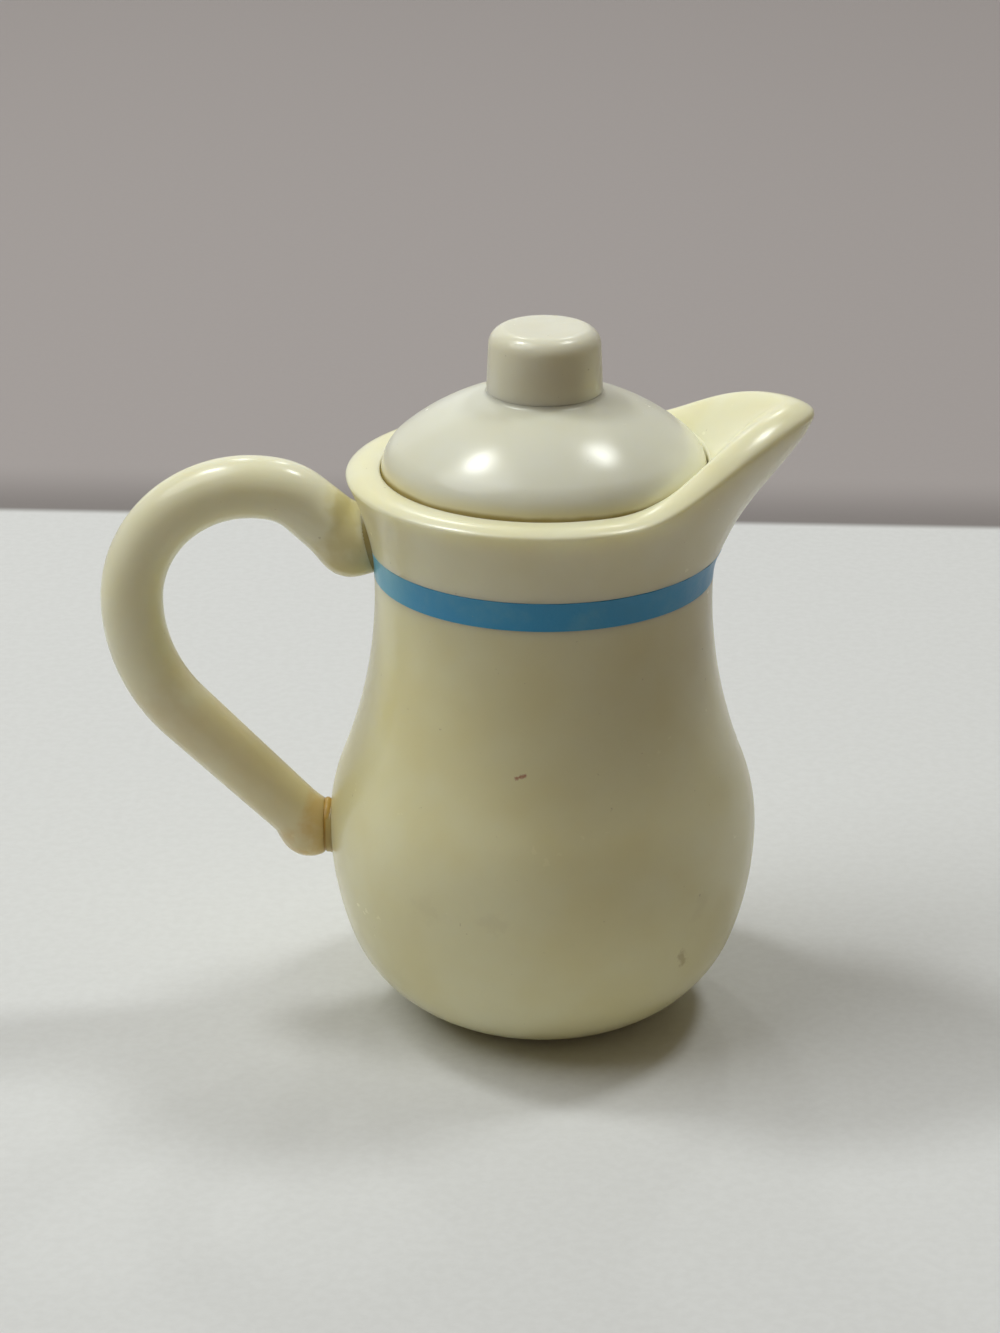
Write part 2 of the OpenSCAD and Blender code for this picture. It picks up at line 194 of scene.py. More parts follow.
def revolve(profile, origin=(0, 0, 0), axis=(0, 0, 1), segments=SEGMENTS):
    """Rings made by turning (radius, distance along the axis) points about an axis in the XZ plane."""
    axis = unit(axis)
    across = np.array((0.0, 1.0, 0.0))
    aside = np.cross(across, axis)
    turn = np.linspace(0, 2 * math.pi, segments, endpoint=False)
    spokes = np.cos(turn)[:, None] * aside + np.sin(turn)[:, None] * across
    return [np.array(origin) + r * spokes + t * axis for r, t in profile]


def add_rings(bm, rings, closed=False):
    """Adds a closed surface through rings of points: its ends are joined to each other, or else filled."""
    rows = [[bm.verts.new(Vector(p) * MM) for p in ring] for ring in rings]
    pairs = list(zip(rows, rows[1:]))
    if closed:
        pairs.append((rows[-1], rows[0]))
    count = len(rows[0])
    for low, high in pairs:
        for j in range(count):
            k = (j + 1) % count
            bm.faces.new((low[j], low[k], high[k], high[j]))
    if not closed:
        for row, ring in ((rows[0], rings[0]), (rows[-1], rings[-1])):
            pole = bm.verts.new(Vector(np.mean(ring, axis=0)) * MM)
            for j in range(count):
                bm.faces.new((row[j], row[(j + 1) % count], pole))


def make_piece(name, shells, material, body, node):
    """One named object made of closed surfaces, which stands for a CAD node and moves with its body."""
    bm = bmesh.new()
    for rings, closed in shells:
        add_rings(bm, rings, closed)
    bmesh.ops.recalc_face_normals(bm, faces=bm.faces)
    mesh = bpy.data.meshes.new(name)
    bm.to_mesh(mesh)
    bm.free()
    mesh.polygons.foreach_set("use_smooth", [True] * len(mesh.polygons))
    mesh.set_sharp_from_angle(angle=SHARP_ANGLE)
    mesh.materials.append(material)
    piece = bpy.data.objects.new(name, mesh)
    bpy.context.scene.collection.objects.link(piece)
    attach(piece, body)
    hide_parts(node)
    return piece


# Curves of the belly: side and bottom arcs below the widest point, shoulder and hollow neck above it
SIDE_C = np.array((BELLY_R - SIDE_R, BELLY_Z))
HEEL_DIR = polar((0, 0), 1, -HEEL_ANGLE)
HEEL_TO_BASE = np.array((BASE_R, 0)) - (SIDE_C + SIDE_R * HEEL_DIR)
BOTTOM_R = -(HEEL_TO_BASE @ HEEL_TO_BASE) / (2 * HEEL_TO_BASE @ HEEL_DIR)
BOTTOM_C = SIDE_C + (SIDE_R - BOTTOM_R) * HEEL_DIR
SHOULDER_C = np.array((BELLY_R - SHOULDER_R, BELLY_Z))
NECK_RISE = NECK_Z - BELLY_Z
NECK_IN = NECK_R - SHOULDER_C[0]
HOLLOW_R = (NECK_IN**2 + NECK_RISE**2 - SHOULDER_R**2) / (2 * (SHOULDER_R - NECK_IN))
HOLLOW_C = np.array((NECK_R + HOLLOW_R, NECK_Z))
TURN_ANGLE = math.degrees(math.atan2(NECK_RISE, HOLLOW_C[0] - SHOULDER_C[0]))
FLARE_RISE = WALL_TOP - NECK_Z
FLARE_R = ((RIM_R - NECK_R) ** 2 + FLARE_RISE**2) / (2 * (RIM_R - NECK_R))


def flare(z):
    """Outer radius of the shell from the neck up, away from the spout."""
    return NECK_R + FLARE_R - math.sqrt(FLARE_R**2 - (z - NECK_Z) ** 2)


def belly_side(z):
    """Outer radius of the belly below its widest point."""
    return SIDE_C[0] + math.sqrt(SIDE_R**2 - (z - BELLY_Z) ** 2)


def belly_curve(inset, floor):
    """Points up the belly from a floor height to the neck, set in by a distance."""
    start = math.degrees(math.asin((floor - BOTTOM_C[1]) / (BOTTOM_R - inset)))
    points = arc(BOTTOM_C, BOTTOM_R - inset, start, -HEEL_ANGLE, 20)
    points += arc(SIDE_C, SIDE_R - inset, -HEEL_ANGLE, 0, 14)[1:]
    points += arc(SHOULDER_C, SHOULDER_R - inset, 0, TURN_ANGLE, 10)[1:]
    points += arc(HOLLOW_C, HOLLOW_R + inset, 180 + TURN_ANGLE, 180, 22)[1:]
    return points


def joint(radius, z, tilt):
    """Centre of a boss face on the handle's side of the shell, and the direction out of it."""
    out = np.array((-math.cos(math.radians(tilt)), 0, -math.sin(math.radians(tilt))))
    return np.array((-radius - BOSS_OUT, 0, z)), out


UPPER_BOSS, UPPER_OUT = joint(flare(UPPER_JOINT_Z), UPPER_JOINT_Z, UPPER_JOINT_TILT)
LOWER_BOSS, LOWER_OUT = joint(belly_side(LOWER_JOINT_Z), LOWER_JOINT_Z, 0)


def boss_rings(point, out, face_r, cove):
    """Boss that an end of the handle is glued to, with a softened edge and a cove at its foot."""
    boss_r = face_r - BOSS_STEP
    profile = [(boss_r + cove, -BOSS_L)]
    profile += arc((boss_r + cove, -BOSS_EDGE), cove, 270, 180, 8)
    profile += rounded([(boss_r, -BOSS_EDGE, 0), (boss_r, 0, BOSS_EDGE / 2), (boss_r / 2, 0, 0)])[1:]
    return revolve(profile, point, out, segments=64)


def bowl_shells():
    """Belly, base, floor and spigot, and the lower boss."""
    flat = 0.15
    outside = belly_curve(0, 0)
    flare_end = math.degrees(math.asin((STRIPE_Z - NECK_Z) / FLARE_R))
    outside += arc((NECK_R + FLARE_R, NECK_Z), FLARE_R, 180, 180 - flare_end, 4)[1:]
    inside = belly_curve(WALL_T, FLOOR_T)[::-1]
    spigot = rounded([
        (flare(STRIPE_Z), STRIPE_Z, 0),
        (SPIGOT_R, STRIPE_Z, 0),
        (SPIGOT_R, STRIPE_Z + SPIGOT_H, 0.2),
        (MOUTH_R, STRIPE_Z + SPIGOT_H, 0.2),
        (NECK_R - WALL_T, NECK_Z, 0),
    ])
    profile = [(BASE_R - flat, 0)] + outside + spigot[1:] + inside[1:]
    profile.append((inside[-1][0] - flat, FLOOR_T))
    boss = boss_rings(LOWER_BOSS, LOWER_OUT, LOWER_FACE_R, LOWER_COVE_R)
    return [(revolve(profile), False), (boss, False)]


# Collar: rings of points at angles that lie closer together toward the end of the spout
COLUMNS = 264
HALF = COLUMNS // 2
STEPS = np.arange(-HALF + 1, HALF + 1) / HALF
ANGLES = np.sign(STEPS) * 180 * np.abs(STEPS) ** COLUMN_POWER
COSINES = np.cos(np.radians(ANGLES))
SINES = np.sin(np.radians(ANGLES))


def taper(degrees):
    """Share of the spout's reach at an angle from its middle, before the tip is softened."""
    return np.maximum(0, 1 - degrees / SPOUT_SPREAD) ** SPOUT_TAPER


REACH_SHARE = taper(np.hypot(ANGLES, TIP_SOFT)) / taper(TIP_SOFT)
RISE_SHARE = np.where(np.abs(ANGLES) < RISE_SPREAD, (1 + np.cos(np.pi * ANGLES / RISE_SPREAD)) / 2, 0)


def climb(z, start):
    """Share of the way from a height up to the top of the collar's wall."""
    return max(0, (z - start) / (WALL_TOP - start))


def ring(radii, heights):
    """Points of one ring of the collar."""
    heights = np.broadcast_to(heights, ANGLES.shape)
    return np.stack((radii * COSINES, radii * SINES, heights), axis=1)


def wall_radii(z):
    """Outer radius of the collar's wall at each angle."""
    reach = (SPOUT_REACH - RIM_R) * math.sin(math.pi / 2 * climb(z, STRIPE_Z) ** REACH_POWER)
    return flare(z) + reach * REACH_SHARE


def wall_ring(z, inset=0):
    """One ring of the outer wall, set in by a distance."""
    rise = SPOUT_RISE * climb(z, STRIPE_TOP) ** RISE_POWER
    return ring(wall_radii(z) - inset, z + rise * RISE_SHARE)


LIP_SIZE = 1 + LIP_SWELL * RISE_SHARE
CREST_RADII = wall_radii(WALL_TOP) - LIP_W * LIP_SIZE


def lip_ring(turn):
    """One ring of the rim's rounded edge, at a turn from the vertical, which is 0 at its crest."""
    out = LIP_W * LIP_SIZE * math.sin(turn) / math.sin(LIP_TURN)
    up = LIP_H * LIP_SIZE * (math.cos(turn) - math.cos(LIP_TURN)) / (1 - math.cos(LIP_TURN))
    return ring(CREST_RADII + out, WALL_TOP + SPOUT_RISE * RISE_SHARE + up)


def edge_rings(below, corner, above, steps):
    """Rings that round the corner between two rings."""
    shares = np.linspace(0, 1, steps + 1)
    return [(1 - t) ** 2 * below + 2 * t * (1 - t) * corner + t**2 * above for t in shares]


def scoop_heights(radii):
    """Height of the spout's scoop between the crest of the lip and the recess of the lid."""
    share = (CREST_RADII - radii) / (CREST_RADII - RECESS_R + SCOOP_LAP)
    crest_up = CREST_H + CREST_RISE * RISE_SHARE
    return RIM_EDGE_Z + crest_up * (1 - np.clip(share, 0, 1) ** SCOOP_POWER)


def collar_shells():
    """Flared neck, rim, spout and the recess for the lid, and the upper boss."""
    edge = RECESS_EDGE_R
    wall_end = WALL_TOP - WALL_SOFT
    rings = [wall_ring(z, STRIPE_T) for z in np.linspace(STRIPE_Z, STRIPE_TOP, 6)]
    rings += [wall_ring(z) for z in np.linspace(STRIPE_TOP, wall_end, 30)[:-1]]
    rings += edge_rings(wall_ring(wall_end), wall_ring(WALL_TOP), lip_ring(LIP_START), 6)
    rings += [lip_ring(turn) for turn in np.linspace(LIP_START, 0, 12)[1:]]
    for share in np.linspace(0, 1, 31)[1:]:
        radii = CREST_RADII + (RECESS_R + edge - CREST_RADII) * share
        rings.append(ring(radii, scoop_heights(radii)))
    edge_heights = scoop_heights(np.full(COLUMNS, RECESS_R + edge))
    for turn in np.linspace(0, math.pi / 2, 5)[1:]:
        drop = edge * (1 - math.cos(turn))
        rings.append(ring(RECESS_R + edge * (1 - math.sin(turn)), edge_heights - drop))
    inside = rounded([
        (RECESS_R, LEDGE_Z + 0.4, 0),
        (RECESS_R, LEDGE_Z, edge),
        (MOUTH_R, LEDGE_Z, edge),
        (MOUTH_R, STRIPE_Z + SPIGOT_H + FIT_GAP, 0),
        (SPIGOT_R + FIT_GAP, STRIPE_Z + SPIGOT_H + FIT_GAP, 0),
        (SPIGOT_R + FIT_GAP, STRIPE_Z, 0),
    ])
    rings += [ring(r, z) for r, z in inside]
    boss = boss_rings(UPPER_BOSS, UPPER_OUT, UPPER_FACE_R, UPPER_COVE_R)
    return [(rings, True), (boss, False)]


def stripe_shells():
    """Printed stripe, flush with the collar's wall, with the slightly uneven edges of a print."""
    uneven = 0.02
    wave = uneven * (np.sin(np.radians(7 * ANGLES)) + np.sin(np.radians(23 * ANGLES) + 1))
    heights = np.linspace(STRIPE_Z, STRIPE_TOP, 6)
    outside = [wall_ring(z) for z in heights]
    outside[-1][:, 2] += wave - 2 * uneven
    inside = [wall_ring(z, STRIPE_T) for z in heights[::-1]]
    return [(outside + inside, True)]


def tangent_angle(center, radius, point, side):
    """Angle of the point where a line from a point touches a circle, on the side given."""
    away = point - center
    return math.degrees(math.atan2(away[1], away[0]) + side * math.acos(radius / np.linalg.norm(away)))


class End:
    """One end of the handle: a tapered bar runs to a round elbow, which turns to a flat face at the boss.

    The face is sunk into the glue, and the elbow turns about a pivot above it.
    """

    STEPS = 20
    BLEND = 0.5
    FACE_ROUND = 0.03

    def __init__(self, boss, out, start, end_r, bar_step, elbow_l, pivot_up, sink, stub=False):
        self.out = np.array((out[0], out[2]))
        boss = np.array((boss[0], boss[2]))
        self.end_r = end_r
        self.tip_r = end_r - bar_step
        self.stub = stub
        self.start = start
        self.aim = boss + (GLUE_T + AIM_L) * self.out
        self.elbow = boss + (GLUE_T + elbow_l) * self.out
        self.face = boss + (GLUE_T - sink) * self.out
        self.run = unit(self.aim - start)
        self.length = np.linalg.norm(self.aim - start)
        up = np.array((self.out[1], -self.out[0]))
        self.pivot = self.face + pivot_up * up
        self.turn_start = start + self.run * ((self.pivot - start) @ self.run)

    def bar_radius(self, t):
        """Radius of the bar at a share of its run."""
        return GRIP_R + (self.tip_r - GRIP_R) * t

    def distance(self, p):
        """Distance of a point from the surface of the bar and the elbow, blended where they meet."""
        run = np.array((self.run[0], 0, self.run[1]))
        start = np.array((self.start[0], 0, self.start[1]))
        t = np.clip((p - start) @ run / self.length, 0, 1)
        bar = np.linalg.norm(p - start - t * self.length * run) - self.bar_radius(t)
        inward = -np.array((self.out[0], 0, self.out[1]))
        elbow = np.array((self.elbow[0], 0, self.elbow[1]))
        s = max(0, (p - elbow) @ inward) if self.stub else 0
        ball = np.linalg.norm(p - elbow - s * inward) - self.end_r
        near = max(self.BLEND - abs(bar - ball), 0) / self.BLEND
        return min(bar, ball) - near * near * self.BLEND / 4

    def center(self, toward):
        """Where a ray from the pivot meets the middle line of the elbow."""
        for a, b in ((self.turn_start, self.aim), (self.aim, self.face)):
            along = b - a
            system = np.array((toward, -along)).T
            t, s = np.linalg.solve(system, a - self.pivot)
            if t > 0 and -1e-9 <= s <= 1 + 1e-9:
                return self.pivot + t * toward
        return self.face

    def turn_rings(self, side, spokes):
        """Rings from the straight bar round the elbow to the flat face, in planes through the pivot."""
        first = self.turn_start - self.pivot
        last = self.face - self.pivot
        angle_first = math.atan2(first[1], first[0])
        swing = math.remainder(math.atan2(last[1], last[0]) - angle_first, 2 * math.pi)
        rings = []
        for share in np.linspace(0, 1, self.STEPS + 1):
            a = angle_first + swing * share
            toward = np.array((math.cos(a), math.sin(a)))
            c = self.center(toward)
            middle = np.array((c[0], 0, c[1]))
            aside = -side * np.array((toward[0], 0, toward[1]))
            across = np.array((0, 1.0, 0))
            points = []
            for cosine, sine in spokes:
                ray = cosine * aside + sine * across
                low, high = 0.0, 2 * self.end_r
                for _ in range(30):
                    mid = (low + high) / 2
                    if self.distance(middle + mid * ray) < 0:
                        low = mid
                    else:
                        high = mid
                points.append(middle + low * ray)
            rings.append(np.array(points))
        face = rings[-1]
        middle = face.mean(axis=0)
        rings[-1] = middle + (face - middle) * (1 - self.FACE_ROUND / self.end_r)
        return rings


def handle_shells():
    """Round bar of the handle, from the upper joint round the loop and the bend to the lower joint."""
    turn = np.linspace(0, 2 * math.pi, 56, endpoint=False)
    spokes = np.stack((np.cos(turn), np.sin(turn)), axis=1)

    def bar_ring(center, along, radius):
        aside = np.array((-along[1], 0, along[0]))
        points = radius * (spokes[:, :1] * aside + spokes[:, 1:] * np.array((0, 1.0, 0)))
        return np.array((center[0], 0, center[1])) + points

    def arc_rings(center, radius, start, end, steps):
        rings = []
        for a in np.linspace(start, end, steps + 1):
            along = polar((0, 0), 1, a + 90)
            rings.append(bar_ring(polar(center, radius, a), along, GRIP_R))
        return rings

    def run_rings(part, steps):
        run = part.turn_start - part.start
        shares = np.linspace(0, 1, steps + 2)[1:-1]
        reach = np.linalg.norm(run) / part.length
        return [(part.start + run * s, part.bar_radius(reach * s)) for s in shares]

    loop_c = np.array((-HANDLE_REACH + LOOP_R, LOOP_Z))
    loop_end = 180 - LOOP_SWEEP
    crook_c = polar(loop_c, LOOP_R - CROOK_R, loop_end)
    bend_c = np.array((-HANDLE_REACH + BEND_R, LOOP_Z))
    upper_aim = (UPPER_BOSS + (GLUE_T + AIM_L) * UPPER_OUT)[[0, 2]]
    lower_aim = (LOWER_BOSS + (GLUE_T + AIM_L) * LOWER_OUT)[[0, 2]]
    crook_end = tangent_angle(crook_c, CROOK_R, upper_aim, 1)
    bend_end = 360 + tangent_angle(bend_c, BEND_R, lower_aim, -1)
    upper_start = polar(crook_c, CROOK_R, crook_end)
    lower_start = polar(bend_c, BEND_R, bend_end)
    upper = End(
        UPPER_BOSS, UPPER_OUT, upper_start, UPPER_END_R,
        UPPER_BAR_STEP, UPPER_ELBOW_L, UPPER_PIVOT_UP, UPPER_SINK, stub=True,
    )
    lower = End(
        LOWER_BOSS, LOWER_OUT, lower_start, LOWER_END_R,
        LOWER_BAR_STEP, LOWER_ELBOW_L, LOWER_PIVOT_UP, LOWER_SINK,
    )

    rings = upper.turn_rings(-1, spokes)[::-1]
    rings += [bar_ring(c, -upper.run, r) for c, r in run_rings(upper, 5)][::-1]
    rings += arc_rings(crook_c, CROOK_R, crook_end, loop_end, 10)
    rings += arc_rings(loop_c, LOOP_R, loop_end, 180, 44)[1:]
    rings += arc_rings(bend_c, BEND_R, 180, bend_end, 26)[1:]
    rings += [bar_ring(c, lower.run, r) for c, r in run_rings(lower, 20)]
    rings += lower.turn_rings(1, spokes)
    return [(rings, False)]


def glue_shells(point, out, radius, back, bulge=0.0, top_fill=0.0):
    """Glue between a boss and the handle, which runs back over the boss and is squeezed out unevenly.

    It bulges by a distance all round, and by one more in the notch on top.
    """
    shares = np.linspace(0, 1, 13)
    places = GLUE_T * shares - back * (1 - shares)
    profile = [(PEG_HOLE_R, 0)] + [(radius, t) for t in places] + [(PEG_HOLE_R, GLUE_T)]
    rings = revolve(profile, point, out, segments=96)
    for k, share in enumerate(shares):
        spokes = rings[k + 1] - rings[k + 1].mean(axis=0)
        spokes = spokes / np.linalg.norm(spokes, axis=1)[:, None]
        turn = np.arctan2(spokes[:, 1], spokes[:, 2])
        uneven = (np.sin(3 * turn + 1) + np.sin(7 * turn + 2) + np.sin(11 * turn)) / 6
        up = np.maximum(0, np.cos(turn)) ** 3
        push = (bulge * (1 + uneven) + top_fill * up) * math.sin(math.pi * share)
        rings[k + 1] = rings[k + 1] + spokes * push[:, None]
    return [(rings, True)]


# Dome of the lid: crown arc, edge arc and the cove that runs up to the knob
EDGE_C = np.array((LID_R - DOME_EDGE_R, DOME_Z))
CROWN_R = (EDGE_C[0] ** 2 + DOME_RISE**2 - DOME_EDGE_R**2) / (2 * (DOME_RISE - DOME_EDGE_R))
CROWN_C = np.array((0, DOME_Z + DOME_RISE - CROWN_R))
EDGE_ANGLE = math.degrees(math.atan2(EDGE_C[1] - CROWN_C[1], EDGE_C[0]))
KNOB_UP = math.sqrt(CROWN_R**2 - KNOB_R**2) + KNOB_SEAT_H
KNOB_Z = CROWN_C[1] + KNOB_UP
COVE_R = (KNOB_R**2 + KNOB_UP**2 - CROWN_R**2) / (2 * (CROWN_R - KNOB_R))
COVE_C = np.array((KNOB_R + COVE_R, KNOB_Z))
COVE_ANGLE = math.degrees(math.atan2(COVE_C[1] - CROWN_C[1], COVE_C[0]))


def lid_shells():
    """Dome with its upright edge and the skirt below it."""
    edge = 0.2
    skirt_in = SKIRT_R - SKIRT_T
    skirt_end = LEDGE_Z - SKIRT_L
    crown_in_r = CROWN_R - LID_T
    skirt_angle = math.degrees(math.acos(skirt_in / crown_in_r))
    stem_angle = math.degrees(math.acos((STEM_R + FIT_GAP) / crown_in_r))
    profile = [(STEM_R + FIT_GAP, KNOB_Z)]
    profile += arc(COVE_C, COVE_R, 180, 180 + COVE_ANGLE, 12)
    profile += arc(CROWN_C, CROWN_R, COVE_ANGLE, EDGE_ANGLE, 12)[1:]
    profile += arc(EDGE_C, DOME_EDGE_R, EDGE_ANGLE, 0, 18)[1:]
    profile += rounded([
        (LID_R, DOME_Z - 0.4, 0),
        (LID_R, LEDGE_Z, edge),
        (SKIRT_R, LEDGE_Z, edge),
        (SKIRT_R, skirt_end, 2 * edge),
        (skirt_in, skirt_end, 2 * edge),
        (skirt_in, skirt_end + SKIRT_L, 0),
    ])
    profile += arc(CROWN_C, crown_in_r, skirt_angle, stem_angle, 16)
    return [(revolve(profile), True)]


def knob_shells():
    """Knob with a softened foot and a rounded, slightly dished top, and its stem."""
    foot = 0.06
    dish = 0.06
    top = KNOB_Z + KNOB_H
    profile = rounded([
        (STEM_R, DOME_Z + DOME_RISE - LID_T, 0),
        (STEM_R, KNOB_Z, 0),
        (KNOB_R, KNOB_Z, foot),
        (KNOB_TOP_R, top, KNOB_ROUND),
        (KNOB_TOP_R - 2 * KNOB_ROUND, top - dish / 2, 0),
        (KNOB_TOP_R / 4, top - dish, 0),
    ], 10)
    return [(revolve(profile, segments=128), False)]


def srgb(red, green, blue):
    """Linear colour, from 0 to 255 values as they look on a screen."""
    linear = []
    for c in (red / 255, green / 255, blue / 255):
        linear.append(c / 12.92 if c <= 0.04045 else ((c + 0.055) / 1.055) ** 2.4)
    return (*linear, 1.0)


class Shader:
    """Node tree of a new material, with a surface shader and the place of each point in millimetres."""

    def __init__(self, name):
        self.material = bpy.data.materials.new(name)
        self.material.use_nodes = True
        self.tree = self.material.node_tree
        self.surface = self.tree.nodes["Principled BSDF"]
        coordinates = self.add("ShaderNodeTexCoord").outputs["Object"]
        self.place = self.vector("SCALE", coordinates, scale=1 / MM)

    def add(self, kind, inputs=None, **settings):
        """Adds a node. An input is a value, or another node's output."""
        node = self.tree.nodes.new(kind)
        for key, value in settings.items():
            setattr(node, key, value)
        for key, value in (inputs or {}).items():
            if isinstance(value, bpy.types.NodeSocket):
                self.tree.links.new(value, node.inputs[key])
            else:
                node.inputs[key].default_value = value
        return node

    def vector(self, operation, a, b=None, scale=None):
        """Output of a vector sum."""
        inputs = {0: a}
        if b is not None:
            inputs[1] = b
        if scale is not None:
            inputs["Scale"] = scale
        node = self.add("ShaderNodeVectorMath", inputs, operation=operation)
        single = operation in ("DOT_PRODUCT", "LENGTH", "DISTANCE")
        return node.outputs["Value" if single else "Vector"]

    def math(self, operation, a, b=0.0, clamp=False):
        """Output of a sum, kept between 0 and 1 if asked."""
        node = self.add("ShaderNodeMath", {0: a, 1: b}, operation=operation, use_clamp=clamp)
        return node.outputs[0]

    def axes(self):
        """The X, Y and Z of the place."""
        return self.add("ShaderNodeSeparateXYZ", {0: self.place}).outputs

    def noise(self, size, detail=3.0, stretch=(1, 1, 1), seed=0.0):
        """Noise with features of about a size in millimetres."""
        place = self.vector("MULTIPLY", self.place, stretch)
        place = self.vector("ADD", place, (seed, 2 * seed, 3 * seed))
        inputs = {"Vector": place, "Scale": 1 / size, "Detail": detail, "Roughness": 0.55}
        return self.add("ShaderNodeTexNoise", inputs).outputs["Fac"]

    def step(self, value, low, high, start=0.0, end=1.0):
        """Smooth change from a start to an end value while the input goes from low to high."""
        inputs = {"Value": value, "From Min": low, "From Max": high, "To Min": start, "To Max": end}
        node = self.add("ShaderNodeMapRange", inputs, interpolation_type="SMOOTHSTEP")
        return node.outputs["Result"]

    def mix(self, share, a, b):
        """Colour between two colours."""
        node = self.add("ShaderNodeMix", data_type="RGBA")
        sockets = [s for s in node.inputs if s.type == "RGBA"]
        for socket, value in ((node.inputs[0], share), (sockets[0], a), (sockets[1], b)):
            if isinstance(value, bpy.types.NodeSocket):
                self.tree.links.new(value, socket)
            else:
                socket.default_value = value
        return [s for s in node.outputs if s.type == "RGBA"][0]

    def near_line(self, a, b, width, soft):
        """Share that falls off around a line between two places, with a ragged edge."""
        line = np.array(b, float) - np.array(a, float)
        away = self.vector("SUBTRACT", self.place, tuple(a))
        along = self.vector("DOT_PRODUCT", away, tuple(line / (line @ line)))
        along = self.math("MULTIPLY", along, 1.0, clamp=True)
        spread = self.add("ShaderNodeVectorMath", {0: tuple(line), "Scale": along}, operation="SCALE")
        distance = self.vector("DISTANCE", away, spread.outputs["Vector"])
        ragged = self.step(self.noise(soft + width, 4), 0.3, 0.7, -soft / 2, soft / 2)
        distance = self.math("ADD", distance, ragged)
        return self.step(distance, width, width + soft, 1.0, 0.0)

    def set(self, **values):
        """Sets sockets of the surface shader, with underscores for the spaces in their names."""
        for key, value in values.items():
            socket = self.surface.inputs[key.replace("_", " ")]
            if isinstance(value, bpy.types.NodeSocket):
                self.tree.links.new(value, socket)
            else:
                socket.default_value = value

    def bump(self, height, distance, strength=1.0):
        """Bump of the surface by a height that is a share of a distance in millimetres."""
        inputs = {"Height": height, "Distance": distance * MM, "Strength": strength}
        self.set(Normal=self.add("ShaderNodeBump", inputs).outputs["Normal"])


CREAM = srgb(238, 235, 198)
CREAM_AGED = srgb(232, 225, 176)
# Paler copies of the cream for the collar and the handle are painted light: they stand in for more light on
# the collar, the scoop and the top of the handle
COLLAR_LIT_CREAM = srgb(245, 243, 214)
COLLAR_LIT_CREAM_AGED = srgb(240, 235, 194)
HANDLE_LIT_CREAM = srgb(246, 244, 221)
HANDLE_LIT_CREAM_AGED = srgb(241, 237, 202)
HANDLE_TAN = srgb(230, 219, 178)
LID_WHITE = srgb(234, 235, 222)
LID_WHITE_AGED = srgb(229, 228, 208)
# The knob's white is a little warmer than the lid's: painted warm reflected light on the knob's shaded side
KNOB_WARMED_WHITE = srgb(235, 234, 219)
KNOB_WARMED_WHITE_AGED = srgb(230, 227, 205)
BROWN = srgb(120, 92, 58)
PINK_BROWN = srgb(168, 84, 62)
YELLOW_BROWN = srgb(150, 122, 44)
AMBER = srgb(212, 176, 92)
DARK_AMBER = srgb(202, 168, 80)
OLIVE = srgb(206, 192, 118)
GLUE_OLIVE = srgb(208, 190, 120)
GLUE_BROWN = srgb(192, 168, 98)
GLUE_AMBER = srgb(184, 148, 64)
GLUE_GOLD = srgb(208, 178, 98)
# Yellow tint at the lid's edge, and a dark tint that is painted shade in gaps and crevices, with grime
EDGE_GOLD_TINT = srgb(226, 212, 146)
DARK_SHADE_AND_GRIME = srgb(164, 144, 70)
FLOOR_PALE = srgb(224, 225, 226)
FLOOR_DIM = srgb(96, 70, 40)
FLOOR_THREAD = srgb(150, 146, 140)
GROUND_NEAR = srgb(130, 124, 123)
GROUND_FAR = srgb(166, 159, 159)
BACKDROP = srgb(172, 165, 163)

# Marks on the belly: ends of a line, width, softness, colour and strength
BELLY_MARKS = [
    ((-1.90, -13.52, 24.01), (-1.20, -13.54, 24.28), 0.05, 0.12, PINK_BROWN, 0.7),
    ((10.11, -11.49, 9.05), (10.37, -10.90, 8.10), 0.12, 0.40, YELLOW_BROWN, 0.35),
    ((-8.58, -13.45, 13.57), (-7.60, -13.95, 13.40), 0.10, 1.2, BROWN, 0.05),
    ((-4.00, -15.45, 13.63), (-3.21, -15.62, 13.24), 0.10, 0.9, BROWN, 0.05),
    ((11.50, -10.99, 12.88), (11.20, -11.30, 12.30), 0.10, 1.0, BROWN, 0.05),
]

# Tints at the lid's edge, a yellow band and a dark line that is painted shade of the gap under the lid,
# with grime: heights above it where a tint is full and where it is gone, strength and tint
EDGE_TINT_AND_GAP_SHADE = [
    (0.1, 1.6, 0.6, EDGE_GOLD_TINT),
    (0.22, 0.55, 0.85, DARK_SHADE_AND_GRIME),
]


